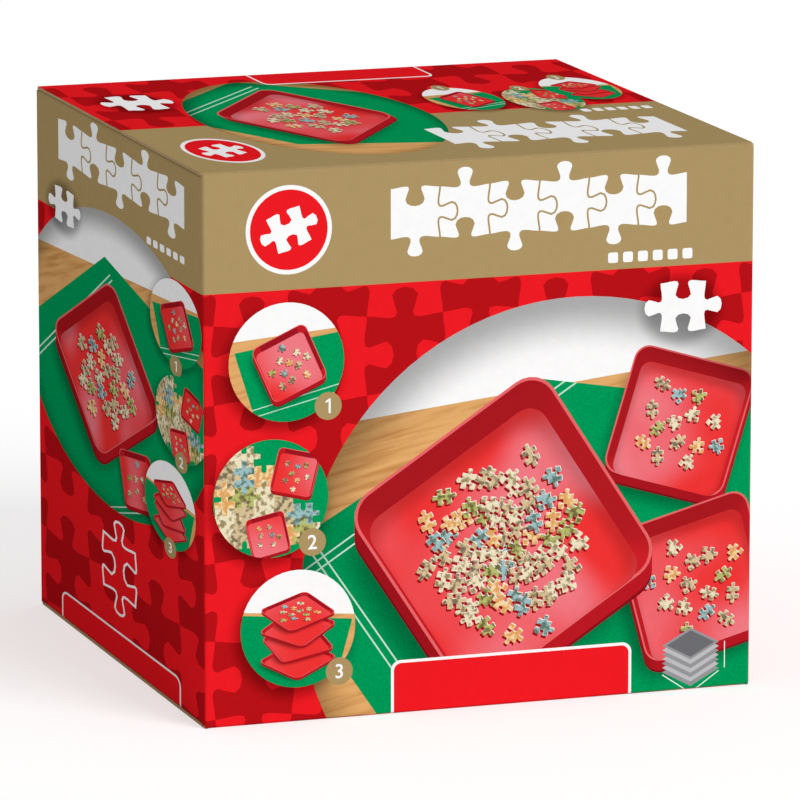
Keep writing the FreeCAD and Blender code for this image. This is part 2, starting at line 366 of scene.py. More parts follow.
@dataclass(frozen=True)
class Panel:
    """Flat side of the carton with its own millimetre grid, seen from outside.

    Attributes:
        name: the printed piece's name.
        body: the body that it moves with.
        origin: lower left corner where the panel's planes meet.
        right: direction to the right.
        up: direction up.
        width: size to the right.
        height: size up.
        wraps: whether the sheet turns the left and the right fold.
        insets: how far the sheet stops short of a side that it doesn't turn.
        ends: lower and upper end of the sheet where it has no fold.
        bottom: fold at the lower edge.
        top: fold at the upper edge.
    """

    name: str
    body: str
    origin: Triple
    right: Triple
    up: Triple
    width: float
    height: float
    wraps: tuple[bool, bool] = (True, True)
    insets: Point = (0.0, 0.0)
    ends: Point = (0.0, 0.0)
    bottom: Optional[Crease] = None
    top: Optional[Crease] = None

    @property
    def normal(self) -> Vector:
        """Direction out of the panel."""
        return Vector(self.right).cross(Vector(self.up))

    @property
    def sides(self) -> Point:
        """Left and right limits of the unfolded sheet."""
        low, high = (FOLD - HALF_ARC if w else i for w, i in zip(self.wraps, self.insets))
        return low, self.width - high

    def edge_outline(self, crease: Optional[Crease], end: float, sign: int) -> Outline:
        """Outline of the sheet's lower or upper end, from left to right.

        Args:
            crease: its fold, if it has one.
            end: where the sheet ends if it has none.
            sign: -1 for the lower end, 1 for the upper one.

        Returns:
            The points.
        """
        left, right = self.sides
        if not crease:
            return [(left, end), (right, end)]
        tip = crease.start + sign * crease.arc
        low, high = crease.low - crease.relief, crease.high + crease.relief
        points = [(left, crease.edge), (low, crease.edge)]
        points += [(low, crease.start), (crease.low, crease.start), (crease.low, tip)]
        points += [(along, tip + sign * beyond) for along, beyond in crease.flap]
        points += [(crease.high, tip), (crease.high, crease.start), (high, crease.start)]
        points += [(high, crease.edge), (right, crease.edge)]
        kept = points[:1]
        for point in points[1:]:
            if math.dist(point, kept[-1]) > SAME_POINT:
                kept.append(point)
        return kept

    def outline(self) -> Outline:
        """Outline of the unfolded sheet, counter-clockwise."""
        low = self.edge_outline(self.bottom, self.ends[0], -1)
        return low + self.edge_outline(self.top, self.ends[1], 1)[::-1]

    def crease_lines(self) -> list[tuple[Point, Point]]:
        """Lines along which the mesh is split, so that it can turn the folds.

        Returns:
            The two ends of each line.
        """
        lines = []
        for index in range(ARC_STEPS):
            at = FOLD - index * HALF_ARC / ARC_STEPS
            for wrapped, x in zip(self.wraps, (at, self.width - at)):
                if wrapped:
                    lines.append(((x, 0.0), (x, self.height)))
        for crease, sign in ((self.bottom, -1), (self.top, 1)):
            if crease:
                steps = round(ARC_STEPS * crease.angle / HALF_FOLD)
                for index in range(steps + bool(crease.flap)):
                    y = crease.start + sign * index * crease.arc / steps
                    lines.append(((crease.low, y), (crease.high, y)))
        return lines

    def place(self, point: Point) -> Vector:
        """Where a point of the unfolded sheet lies on the folded carton.

        Args:
            point: the point, in panel millimetres.

        Returns:
            The place in metres.
        """
        across, along = point
        depth = 0.0
        for wrapped, start, sign in zip(self.wraps, (FOLD, self.width - FOLD), (-1, 1)):
            beyond = sign * (point[0] - start)
            if wrapped and beyond > 0:
                across = start + sign * FOLD * math.sin(beyond / FOLD)
                depth = FOLD * (math.cos(beyond / FOLD) - 1)
        for crease, sign in ((self.bottom, -1), (self.top, 1)):
            if not crease:
                continue
            beyond = sign * (point[1] - crease.start)
            within = crease.low - FOLD_REACH <= point[0] <= crease.high + FOLD_REACH
            if within and beyond > 0:
                turn = min(beyond, crease.arc) / FOLD
                flat = max(beyond - crease.arc, 0.0)
                along = crease.start + sign * (FOLD * math.sin(turn) + flat * math.cos(turn))
                depth = FOLD * (math.cos(turn) - 1) - flat * math.sin(turn)
        place = Vector(self.origin) + Vector(self.right) * across + Vector(self.up) * along
        return (place + self.normal * depth) * MM


def counter_clockwise(points: Outline) -> Outline:
    """The same outline, reversed if it runs clockwise."""
    area = sum(x0 * y1 - x1 * y0 for (x0, y0), (x1, y1) in zip(points, points[1:] + points[:1]))
    return points if area > 0 else points[::-1]


def outline_of(form: bmesh.types.BMesh, centre: Point, turn: float = 0.0) -> Outline:
    """Read the single face of a bmesh as an outline and free the bmesh.

    Args:
        form: a bmesh with one face round the origin.
        centre: where the origin goes.
        turn: how far it is turned, in degrees.

    Returns:
        The outline.
    """
    matrix = Matrix.Translation((*centre, 0)) @ Matrix.Rotation(math.radians(turn), 4, "Z")
    bmesh.ops.transform(form, matrix=matrix, verts=form.verts)
    form.faces.ensure_lookup_table()
    points = [(corner.vert.co.x, corner.vert.co.y) for corner in form.faces[0].loops]
    form.free()
    return counter_clockwise(points)


def ellipse(centre: Point, radii: Point, segments: int = 48) -> Outline:
    """Outline of an ellipse.

    Args:
        centre: its centre.
        radii: its half width and half height.
        segments: its number of points.

    Returns:
        The outline.
    """
    form = bmesh.new()
    bmesh.ops.create_circle(form, cap_ends=True, segments=segments, radius=1.0)
    bmesh.ops.scale(form, vec=(*radii, 1.0), verts=form.verts)
    return outline_of(form, centre)


def rounded_box(
    centre: Point, size: Point, radius: float = 0.0, turn: float = 0.0, segments: int = 6
) -> Outline:
    """Outline of a rectangle with rounded corners.

    Args:
        centre: its centre.
        size: its width and height.
        radius: its corner radius, or 0 for square corners.
        turn: how far it is turned, in degrees.
        segments: pieces of each corner.

    Returns:
        The outline.
    """
    form = bmesh.new()
    bmesh.ops.create_grid(form, x_segments=1, y_segments=1, size=0.5)
    bmesh.ops.scale(form, vec=(*size, 1.0), verts=form.verts)
    if radius > 0:
        bmesh.ops.bevel(
            form, geom=form.verts[:], offset=radius, offset_type="OFFSET", segments=segments,
            profile=0.5, affect="VERTICES", material=-1,
        )
    return outline_of(form, centre, turn)


def strip(start: Point, end: Point, width: float) -> Outline:
    """Outline of a straight line of some width.

    Args:
        start: its first end.
        end: its last end.
        width: its width.

    Returns:
        The outline.
    """
    middle = ((start[0] + end[0]) / 2, (start[1] + end[1]) / 2)
    turn = math.degrees(math.atan2(end[1] - start[1], end[0] - start[0]))
    return rounded_box(middle, (math.dist(start, end), width), 0.0, turn)


def inset(outline: Outline, distance: float) -> Outline:
    """Outline moved inwards by an even distance.

    Args:
        outline: the outline.
        distance: how far.

    Returns:
        The smaller outline.
    """
    form = bmesh.new()
    face = form.faces.new([form.verts.new((x, y, 0)) for x, y in outline])
    face.normal_update()
    bmesh.ops.inset_region(
        form, faces=[face], thickness=distance, use_boundary=True, use_even_offset=True
    )
    border = [other for other in form.faces if other != face]
    bmesh.ops.delete(form, geom=border, context="FACES")
    return outline_of(form, (0.0, 0.0))


def rounded_corner(before: Point, corner: Point, after: Point, radius: float) -> Outline:
    """Arc in place of an outline's corner.

    Args:
        before: the outline's point before it.
        corner: the corner.
        after: the point after it.
        radius: the arc's radius.

    Returns:
        The arc's points.
    """
    steps = 6
    back, ahead = ((Vector(end) - Vector(corner)).normalized() for end in (before, after))
    half = back.angle(ahead) / 2
    middle = Vector(corner) + (back + ahead).normalized() * radius / math.sin(half)
    reach = radius / math.tan(half)
    start, end = (Vector(corner) + way * reach - middle for way in (back, ahead))
    low, high = (math.atan2(arm.y, arm.x) for arm in (start, end))
    turn = (high - low + math.pi) % (2 * math.pi) - math.pi
    angles = [low + turn * index / steps for index in range(steps + 1)]
    return [(middle.x + radius * math.cos(a), middle.y + radius * math.sin(a)) for a in angles]


def flap_outline(
    ends: Point, length: float, radius: float, tapers: Point = (0.0, 0.0), shoulder: float = 0.0
) -> tuple[Point, ...]:
    """Outline of a flat flap, without its root.

    Args:
        ends: left and right end of its root.
        length: its length.
        radius: radius of its two free corners.
        tapers: how far its left and right free corner stand in.
        shoulder: length of the straight part before a taper.

    Returns:
        The points, from left to right.
    """
    left, right = ((end, shoulder if taper else 0.0) for end, taper in zip(ends, tapers))
    tip_left, tip_right = (ends[0] + tapers[0], length), (ends[1] - tapers[1], length)
    points = [left] + rounded_corner(left, tip_left, tip_right, radius)
    return tuple(points + rounded_corner(tip_left, tip_right, right, radius) + [right])


def numeral(text: str, centre: Point, height: float) -> Outline:
    """Outline of one digit.

    Args:
        text: the digit.
        centre: its centre.
        height: its height.

    Returns:
        The outline.
    """
    if text == "1":
        return [(centre[0] + height * x, centre[1] + height * y) for x, y in FLAGGED_ONE]
    curve = bpy.data.curves.new("numeral", "FONT")
    curve.body = text
    curve.resolution_u = 3
    curve.offset = NUMERAL_WEIGHT
    holder = bpy.data.objects.new("numeral", curve)
    mesh = bpy.data.meshes.new_from_object(holder)
    form = bmesh.new()
    form.from_mesh(mesh)
    bpy.data.objects.remove(holder)
    bpy.data.curves.remove(curve)
    bpy.data.meshes.remove(mesh)
    bmesh.ops.remove_doubles(form, verts=form.verts, dist=1e-5)
    bmesh.ops.dissolve_faces(form, faces=form.faces[:])
    axes = list(zip(*(vert.co for vert in form.verts)))
    low, high = (Vector([limit(axis) for axis in axes]) for limit in (min, max))
    bmesh.ops.translate(form, vec=-(low + high) / 2, verts=form.verts)
    bmesh.ops.scale(form, vec=Vector((1, 1, 1)) * height / (high.y - low.y), verts=form.verts)
    return outline_of(form, centre)


def bezier(points: Sequence[Point], steps: int) -> Outline:
    """Points along a cubic curve, without its end.

    Args:
        points: start, two handles and end.
        steps: number of points.

    Returns:
        The points.
    """
    found = []
    for index in range(steps):
        t = index / steps
        weights = ((1 - t) ** 3, 3 * t * (1 - t) ** 2, 3 * t * t * (1 - t), t ** 3)
        x, y = (sum(w * p[axis] for w, p in zip(weights, points)) for axis in (0, 1))
        found.append((x, y))
    return found


def jigsaw_edge(start: Point, end: Point, tab: int, steps: int) -> Outline:
    """One side of a jigsaw piece, from start up to but without end.

    Args:
        start: first corner.
        end: last corner.
        tab: 1 for a tab to the right of the way, -1 for a socket, 0 for a straight side.
        steps: points on each of its three curves.

    Returns:
        The points.
    """
    if tab == 0:
        return [start]
    k = KNOB
    curves = (
        ((0, 0), (0.2, 0), (0.5, -k), (0.5 - k, k)),
        ((0.5 - k, k), (0.5 - 2.3 * k, 3 * k), (0.5 + 2.3 * k, 3 * k), (0.5 + k, k)),
        ((0.5 + k, k), (0.5, -k), (0.8, 0), (1, 0)),
    )
    (x, y), (run_x, run_y) = start, (end[0] - start[0], end[1] - start[1])
    found = []
    for curve in curves:
        for along, out in bezier(curve, steps):
            out *= -tab
            found.append((x + run_x * along - run_y * out, y + run_y * along + run_x * out))
    return found


def jigsaw_piece(
    centre: Point, size: float, tabs: Sequence[int], steps: int, turn: float = 0.0
) -> Outline:
    """Outline of one jigsaw piece.

    Args:
        centre: its centre.
        size: its side without tabs.
        tabs: 1, -1 or 0 for the lower, right, upper and left side.
        steps: points on each curve.
        turn: how far it is turned, in degrees.

    Returns:
        The outline.
    """
    corners = [(-0.5, -0.5), (0.5, -0.5), (0.5, 0.5), (-0.5, 0.5)]
    points = []
    for corner, following, tab in zip(corners, corners[1:] + corners[:1], tabs):
        points += jigsaw_edge(corner, following, tab, steps)
    return placed(points, centre, size, turn)


def placed(points: Sequence[Point], centre: Point, size: float, turn: float) -> Outline:
    """Points round zero, turned, scaled and moved.

    Args:
        points: the points.
        centre: where zero goes.
        size: the scale.
        turn: the turn in degrees.

    Returns:
        The new points.
    """
    c, s = math.cos(math.radians(turn)), math.sin(math.radians(turn))
    right, up = centre
    return [(right + size * (x * c - y * s), up + size * (x * s + y * c)) for x, y in points]


@dataclass(frozen=True)
class TrayMotif:
    """A red tray in the artwork, seen from above with its front side showing.

    Attributes:
        centre: its centre.
        size: its side.
        turn: how far it is turned, in degrees.
        count: number of loose pieces in it.
        seed: varies the pieces.
        squash: height to width of the whole motif.
        soft: whether its walls and floor are softly shaded.
    """

    centre: Point
    size: float
    turn: float
    count: int
    seed: int
    squash: float = 1.0
    soft: bool = False

    @property
    def height(self) -> float:
        """How far its front side reaches down."""
        return self.size * FRONT_HEIGHT

    @property
    def half(self) -> Point:
        """Its half width and half height before the squash."""
        return self.size / 2, self.size / 2

    def square(self, share: float, corner: float, drop: float = 0.0, segments: int = 6) -> Outline:
        """Rounded square of the tray, before the squash.

        Args:
            share: its side, as a share of the tray's.
            corner: its corner radius, as a share of the tray's own.
            drop: how far down it lies, as a share of the front side.
            segments: pieces of each corner.

        Returns:
            The outline.
        """
        place = (self.centre[0], self.centre[1] / self.squash - self.height * drop)
        side, radius = self.size * share, self.size * CORNER_RADIUS * corner
        return rounded_box(place, (side, side), radius, self.turn, segments)


@dataclass
class Artwork:
    """Printed shapes of one panel, from the ground up.

    Attributes:
        stretch: factors from the artwork's grid to the panel's millimetres.
        layers: the shapes.
        shades: soft shading for the shapes that are added next.
        windows: layers that clip the shapes that are added next.
        mat: layer of the mat that was printed last.
    """

    stretch: Point = (1.0, 1.0)
    layers: list[Layer] = field(default_factory=list)
    shades: tuple[Shade, ...] = ()
    windows: tuple[int, ...] = ()
    mat: int = 0

    def add(self, ink: Ink, outline: Outline, *within: int) -> int:
        """Print an outline over what is there.

        Args:
            ink: the colour.
            outline: the closed outline.
            within: further layers that clip it.

        Returns:
            The number of its layer.
        """
        points = tuple((x * self.stretch[0], y * self.stretch[1]) for x, y in outline)
        self.layers.append(Layer(ink, points, self.windows + within, self.shades))
        return len(self.layers) - 1

    def band(self, ink: Ink, low: float, high: float, width: float) -> int:
        """Print a plain band right across a panel and give the number of its layer."""
        centre = (width / 2, (low + high) / 2)
        return self.add(ink, rounded_box(centre, (width + 2 * BLEED, high - low)))

    def shade(
        self, centre: Point, radii: Point, span: Point, light: Point, **more: float
    ) -> Shade:
        """Soft shading that is given in the artwork's grid, as Shade says."""
        (x, y), (rx, ry), (sx, sy) = centre, radii, self.stretch
        return Shade((x * sx, y * sy), (rx * sx, ry * sy), span, light, **more)

    def cast(
        self, centre: Point, radii: Point, strength: float = 0.55, spread: float = 1.22
    ) -> Shade:
        """Soft shadow that a shape casts down to its left.

        Args:
            centre: the shape's centre.
            radii: its half width and half height.
            strength: how dark it is.
            spread: how far it reaches, as a share of the radii.

        Returns:
            The shading.
        """
        away = SHADOW_SHIFT * min(radii)
        moved = (centre[0] - away, centre[1] - SHADOW_SLOPE * away)
        return self.shade(moved, radii, (SHADOW_CORE, spread), (1 - strength, 1.0))

    def under(self, tray: TrayMotif, light: float = 0.45) -> Shade:
        """Soft shadow of a tray on what it stands on.

        Args:
            tray: the tray.
            light: brightness in the shadow.

        Returns:
            The shading.
        """
        drop = 1.5 * tray.height * tray.squash
        place = (tray.centre[0] - 0.05 * tray.size, tray.centre[1] - drop)
        radii, span = (tray.half[0], tray.half[1] * tray.squash), (SHADOW_CORE, 1.2)
        return self.shade(place, radii, span, (light, 1.0), turn=tray.turn, power=5.0)

    def ground(self, low: float, high: float, width: float) -> None:
        """Two reds in a jigsaw pattern.

        Args:
            low: where it starts.
            high: where it ends.
            width: its width.
        """
        right, up = PATTERN_START
        bright = self.band(BRIGHT_RED, low, high, width)
        for column in range(-1, math.ceil(width / CELL) + 1):
            for row in range(math.floor(low / CELL) - 1, math.ceil(high / CELL) + 1):
                if (column + row) % 2 == 0:
                    centre = ((column + 0.5) * CELL + right, (row + 0.5) * CELL + up)
                    self.add(DARK_RED, jigsaw_piece(centre, CELL, (1, -1, 1, -1), 6), bright)

    def wall(self, width: float) -> None:
        """Jigsaw ground and tan header of a wall of that width."""
        self.ground(-BLEED, HEIGHT - HEADER, width)
        self.band(TAN, HEIGHT - HEADER, HEIGHT + BLEED, width)

    def field(
        self, centre: Point, radii: Point, horizon: tuple[Point, Point], mat: Outline,
        trays: Sequence[TrayMotif],
    ) -> None:
        """Round picture of a table with a green mat; what follows is clipped to it.

        Args:
            centre: its centre.
            radii: its half width and half height.
            horizon: left and right end of the table's far edge.
            mat: outline of the mat.
            trays: the trays that will stand on it and shade it.
        """
        low = (centre[0], centre[1] - 0.05 * radii[1])
        self.shades = (self.shade(low, radii, (0.84, 1.04), (1.0, 0.42)),) + self.shades
        self.windows = (self.add(WHITE, ellipse(centre, radii, 96)),)
        (x0, y0), (x1, y1) = horizon
        above = self.shades
        self.shades += tuple(self.under(tray) for tray in trays)
        self.add(OAK, [(x0, y0 - 400), (x1, y1 - 400), (x1, y1), (x0, y0)])
        self.mat = self.add(MAT_GREEN, counter_clockwise(mat))
        self.shades = above

    def lines(
        self, start: Point, end: Point, offsets: Sequence[float], width: float = 0.6
    ) -> None:
        """Parallel thin lines on a mat.

        Args:
            start: first end of the base line.
            end: last end of it.
            offsets: distances of the lines from it.
            width: their width.
        """
        length = math.dist(start, end)
        across = (-(end[1] - start[1]) / length, (end[0] - start[0]) / length)
        for off in offsets:
            moved = [(x + across[0] * off, y + across[1] * off) for x, y in (start, end)]
            self.add(MAT_LINE, strip(*moved, width), self.mat)

    def tray(self, motif: TrayMotif, cover: tuple[Shade, ...] = ()) -> None:
        """A red tray with loose pieces in it.

        Args:
            motif: the tray.
            cover: soft shadow on its floor, of a tray that lies over it.
        """
        sx, sy = self.stretch
        self.stretch = (sx, sy * motif.squash)
        shades = self.shades
        place = (motif.centre[0], motif.centre[1] / motif.squash)
        turned = {"turn": motif.turn, "power": 8.0}
        if motif.soft:
            side = self.shade(place, motif.half, (-1.0, 1.0), (0.72, 1.12), facing=-10.0, **turned)
            self.shades = shades + (side,)
        for step in range(FRONT_STEPS, 0, -1):
            ink = TRAY_LOW if step == FRONT_STEPS else TRAY_SIDE
            self.add(ink, motif.square(1.0, 1.0, step / FRONT_STEPS))
        self.shades = shades
        self.add(TRAY_RIM, motif.square(1.0, 1.0))
        if motif.soft:
            wall = self.shade(place, motif.half, (-0.8, 0.8), (1.16, 0.74), facing=105.0, **turned)
            self.shades = shades + (wall,)
            self.add(WALL_MIDDLE, motif.square(WALL_SIDE, WALL_CORNER, segments=9))
            floor = (place[0] - motif.size * 0.01, place[1] - motif.height * 1.3)
            radii = (motif.size * (FLOOR_SIDE / 2),) * 2
            turned["power"] = 7.0
            rim = self.shade(floor, radii, (SHADOW_CORE, 1.06), (1.0, 0.7), **turned)
            self.shades = shades + (rim,)
        else:
            self.flat_walls(motif, place)
            self.shades = shades + cover
        self.add(TRAY_FLOOR, motif.square(FLOOR_SIDE, FLOOR_CORNER, FLOOR_DROP))
        self.shades = shades
        self.pieces(motif, (place[0], place[1] - motif.height * 0.7))
        self.stretch = (sx, sy)

    def flat_walls(self, motif: TrayMotif, centre: Point) -> None:
        """A small tray's four inner walls, each in one tone.

        Args:
            motif: the tray.
            centre: its centre before the squash.
        """
        wall = self.add(WALL_MIDDLE, motif.square(WALL_SIDE, WALL_CORNER))
        wedge = ((0.34, -0.34), (0.52, -0.34), (0.52, 0.34), (0.34, 0.34))
        lamp, even = 60, 0.3
        for number in range(4):
            facing = motif.turn + 90 * number
            light = math.cos(math.radians(facing - lamp))
            ink = WALL_DARK if light > even else WALL_LIGHT if light < -even else WALL_MIDDLE
            self.add(ink, placed(wedge, centre, motif.size, facing), wall)

    def pieces(self, motif: TrayMotif, centre: Point) -> None:
        """Loose jigsaw pieces spread over a tray's floor.

        Args:
            motif: the tray.
            centre: the floor's centre.
        """
        patterns = ((1, -1, 1, -1), (1, 1, -1, -1), (-1, 1, -1, 1), (1, -1, -1, 1), (-1, -1, 1, 1))
        piece, steps = motif.size * FLAT_PIECE_SIDE, 2
        if motif.soft:
            piece, steps = min(motif.size * PIECE_SIDE, LARGEST_PIECE), 4
        for index in range(motif.count):
            angle = math.radians(GOLDEN_ANGLE * index + 31 * motif.seed)
            share = ((index + 0.5) / motif.count) ** (0.62 if motif.count > 40 else 0.5)
            away = motif.size * PIECE_SPREAD * share * (1 + 0.1 * math.sin(7 * index + motif.seed))
            x, y = centre[0] + away * math.cos(angle), centre[1] + away * math.sin(angle)
            tabs = patterns[(index + motif.seed) % len(patterns)]
            facing = 47 * index + 19 * motif.seed
            ink = PIECE_INKS[(index * 5 + motif.seed) % len(PIECE_INKS)]
            for shift, colour in ((0.1, PIECE_SHADE), (-0.035, PIECE_EDGE), (0.0, ink)):
                if motif.soft or colour is not PIECE_EDGE:
                    place = (x - shift * piece, y - 1.4 * shift * piece)
                    self.add(colour, jigsaw_piece(place, piece, tabs, steps, facing))

    def chain(self, centre: Point, size: float, count: int) -> None:
        """A white row of linked jigsaw pieces.

        Args:
            centre: its centre.
            size: side of a piece.
            count: number of pieces.
        """
        for index in range(count):
            x = centre[0] + (index - (count - 1) / 2) * size
            up = 1 if index % 2 else -1
            left, right = -1 if index else 0, 1 if index < count - 1 else 0
            piece = jigsaw_piece((x, centre[1]), size, (-up, right, up, left), 8)
            self.add(WHITE, inset(piece, CHAIN_GAP))

    def squares(self, start: Point, size: float) -> None:
        """A row of small white squares from that first one, one for each tray in the carton."""
        for x in (start[0] + number * size * 1.5 for number in range(6)):
            self.add(WHITE, rounded_box((x, start[1]), (size, size), size * 0.2, segments=3))

    def seal(self, centre: Point, radius: float) -> None:
        """A red disc with a white ring and a white jigsaw piece.

        Args:
            centre: its centre.
            radius: its radius.
        """
        self.add(WHITE, ellipse(centre, (radius, radius)))
        self.add(BRIGHT_RED, ellipse(centre, (radius * 0.9, radius * 0.9)))
        self.add(WHITE, jigsaw_piece(centre, radius * 0.82, (-1, 1, -1, 1), 5, 20.0))

    def label(self, low: Point, size: Point, line: float = 1.1) -> None:
        """Bare red label with a white line round it that stands on the lower edge.

        Args:
            low: its lower left corner.
            size: its width and height.
            line: width of the white line.
        """
        place = (low[0] + size[0] / 2, low[1])
        for ink, edge, radius in ((WHITE, 0.0, 3.6), (BRIGHT_RED, 2 * line, 2.7)):
            self.add(ink, rounded_box(place, (size[0] - edge, 2 * size[1] - edge), radius))

    def number(self, text: str, centre: Point, radius: float) -> None:
        """A tan disc with a white numeral."""
        self.add(TAN, ellipse(centre, (radius, radius), 32))
        self.add(WHITE, numeral(text, centre, radius * 1.05))

    def round_picture(self, text: str, centre: Point, r: float, disc: Point) -> None:
        """Small round picture on the ground with its number disc.

        Args:
            text: its number.
            centre: its centre.
            r: its radius.
            disc: place of the number disc, in radii from the picture's centre.
        """
        def local(*points: Point) -> Outline:
            """Points given in radii from the picture's centre."""
            return [(centre[0] + x * r, centre[1] + y * r) for x, y in points]

        self.windows, self.shades = (), ()
        self.windows = (self.add(WHITE, ellipse(centre, (r, r))),)
        if text == "1":
            trays = [TrayMotif(*local((0.05, -0.02)), 1.02 * r, 24.0, 11, 3)]
            self.shades = (self.under(trays[0]),)
            self.add(OAK, local((-2, -2), (2, -2), (2, 0.62), (-2, 0.3)))
            mat = local((-0.4, -1.4), (1.6, -0.9), (1.2, 0.5), (-0.9, 0.2))
            self.mat = self.add(MAT_GREEN, mat)
            self.lines(*local((-0.6, -0.9), (1.3, -0.45)), (0.0, 0.12 * r), 0.35)
        elif text == "2":
            self.add(MAT_GREEN, rounded_box(centre, (2.2 * r, 2.2 * r)))
            piece = 0.34
            self.laid_pieces(local((-0.35 * piece, 0.15 * piece))[0], piece * r)
            trays = [
                TrayMotif(*local((0.42, 0.42)), 0.74 * r, -14.0, 8, 5),
                TrayMotif(*local((-0.05, -0.60)), 0.68 * r, 12.0, 7, 1),
            ]
        else:
            pitch = 0.27
            stack = ((-1.9, 44.0, 0), (-0.9, 22.0, 0), (0.1, 52.0, 0), (1.1, 34.0, 12))
            trays = [
                TrayMotif(*local((0.0, level * pitch)), 0.98 * r, turn, count, 2, 0.5)
                for level, turn, count in stack
            ]
            self.shades = (self.under(trays[0]),)
            self.add(OAK, local((-2, -2), (2, -2), (2, 0.1), (-2, 0.42)))
            self.add(MAT_GREEN, local((-1.7, -1.2), (0.5, -1.5), (0.95, 0.1), (-1.1, 0.3)))
        self.shades = ()
        for index, tray in enumerate(trays):
            over = trays[index + 1:index + 2] if tray.squash < 1 else []
            self.tray(tray, tuple(self.under(other, 0.35) for other in over))
        self.windows = ()
        self.number(text, local(disc)[0], 0.235 * r)

    def laid_pieces(self, centre: Point, piece: float) -> None:
        """A corner of a laid puzzle.

        Args:
            centre: centre of its middle piece.
            piece: side of a piece.
        """
        for row in range(-2, 3):
            for column in range(-2, 2 - row):
                tabs = [-1 if (row + column + side) % 2 else 1 for side in range(4)]
                place = (centre[0] + column * piece, centre[1] + row * piece)
                ink = PIECE_INKS[(row * 3 + column * 2) % len(PIECE_INKS)]
                self.add(ink, jigsaw_piece(place, piece, tabs, 3))

    def tray_icon(self, centre: Point, width: float) -> None:
        """Grey drawing of the nested stack with thin dimension lines.

        Args:
            centre: centre of its top.
            width: its width.
        """
        def rhombus(share: float, drop: float = 0.0) -> Outline:
            """A level square of the stack, seen from above."""
            corners = ((0, -0.27), (0.5, 0), (0, 0.27), (-0.5, 0))
            return [(x + width * a * share, y + width * b * share - drop) for a, b in corners]

        x, y = centre
        line = 0.35
        for step in range(6, -1, -1):
            self.add(PALE_GREY if step % 2 else GREY, rhombus(1.0, width * 0.075 * step))
        self.add(DARK_GREY, rhombus(0.84))
        half, side = width / 2, y - width * 0.56 + 1.5
        tip, edge = y - width * 0.83 + 1.0, x + half + 2.2
        self.add(WHITE, strip((x - half, side), (x - 1.5, tip), line))
        self.add(WHITE, strip((x + 1.5, tip), (x + half, side), line))
        self.add(WHITE, strip((edge, y - width * 0.45), (edge, y), line))


@dataclass(frozen=True)
class PrintFinish:
    """Coated paper with one printed colour.

    Attributes:
        panel: the panel that carries it.
        ink: the colour.
        shades: soft printed shading on it.
        roughness: roughness of the coating.
        clouds: repeats of its faint clouds in a metre.
        pores: repeats of the paper's unevenness in a metre.
        grain: height of that unevenness, in metres.
    """

    panel: Panel
    ink: Ink
    shades: tuple[Shade, ...]
    roughness: float = 0.6
    clouds: float = 260.0
    pores: float = 2600.0
    grain: float = 0.000012

    def material(self, name: str) -> bpy.types.Material:
        """Build the material.

        Args:
            name: its name.

        Returns:
            The material.
        """
        nodes = Nodes.surface(name)
        colour = self.colour(nodes)
        for shade in self.shades:
            colour = nodes.scaled(colour, self.shading(nodes, shade))
        colour = nodes.scaled(colour, nodes.clouds(self.clouds, (0.985, 1.012)))
        looks = {"Base Color": colour, "Roughness": self.roughness, "Specular IOR Level": 0.0}
        nodes.feed(nodes.shader, looks)
        nodes.bump(nodes.noise(nodes.coordinates, self.pores, 3.0), self.grain, 0.3)
        return nodes.owner

    def shading(self, nodes: Nodes, shade: Shade) -> Socket:
        """Brightness that a printed shading gives.

        Args:
            nodes: the material's nodes.
            shade: the shading.

        Returns:
            The brightness.
        """
        right, up = Vector(self.panel.right), Vector(self.panel.up)
        across, along = shade.radii
        scale = [(abs(r) / across + abs(u) / along) / MM for r, u in zip(right, up)]
        place = nodes.mapped(nodes.coordinates, self.panel.place(shade.centre), scale)
        if shade.turn:
            place = nodes.turned(place, self.panel.normal, -shade.turn)
        if shade.facing is not None:
            powers = nodes.powers(place, shade.power - 2.0)
            side = nodes.vector_math("NORMALIZE", nodes.vector_math("MULTIPLY", powers, place))
            angle = math.radians(shade.facing - shade.turn)
            towards = right * math.cos(angle) + up * math.sin(angle)
            value = nodes.vector_math("DOT_PRODUCT", side, towards, "Value")
        elif shade.power == 2.0:
            value = nodes.vector_math("LENGTH", place, output="Value")
        else:
            powers = nodes.powers(place, shade.power)
            total = nodes.vector_math("DOT_PRODUCT", powers, (1.0, 1.0, 1.0), "Value")
            value = nodes.math("POWER", total, 1 / shade.power)
        return nodes.ramp(value, shade.span, shade.light)

    def colour(self, nodes: Nodes) -> Value:
        """The ink's colour with its texture.

        Args:
            nodes: the material's nodes.

        Returns:
            The colour.
        """
        if self.ink.texture is Texture.PLAIN:
            return linear(self.ink.tone)
        scale, detail, span = self.ink.texture.value
        place = nodes.coordinates
        if self.ink.texture is Texture.WOOD:
            normal = [abs(part) for part in self.panel.normal]
            axes = zip(self.panel.right, self.panel.up, normal)
            long, fine = 30.0, 420.0
            grain = [long * abs(r) + fine * abs(u) + n for r, u, n in axes]
            place = nodes.mapped(nodes.turned(place, normal, 12.0), (0, 0, 0), grain)
        share = nodes.ramp(nodes.noise(place, scale, detail), span)
        return nodes.mix(share, linear(self.ink.tone), linear(self.ink.second))


def new_object(name: str, data: bpy.types.ID) -> bpy.types.Object:
    """Put a new object into the scene.

    Args:
        name: its name.
        data: its mesh, lamp or camera.

    Returns:
        The object.
    """
    holder = bpy.data.objects.new(name, data)
    bpy.context.scene.collection.objects.link(holder)
    return holder


def mesh_object(name: str, form: bmesh.types.BMesh) -> bpy.types.Object:
    """Put a bmesh into the scene as an object and free the bmesh.

    Args:
        name: the object's name.
        form: the bmesh.

    Returns:
        The object.
    """
    mesh = bpy.data.meshes.new(name)
    form.to_mesh(mesh)
    form.free()
    return new_object(name, mesh)


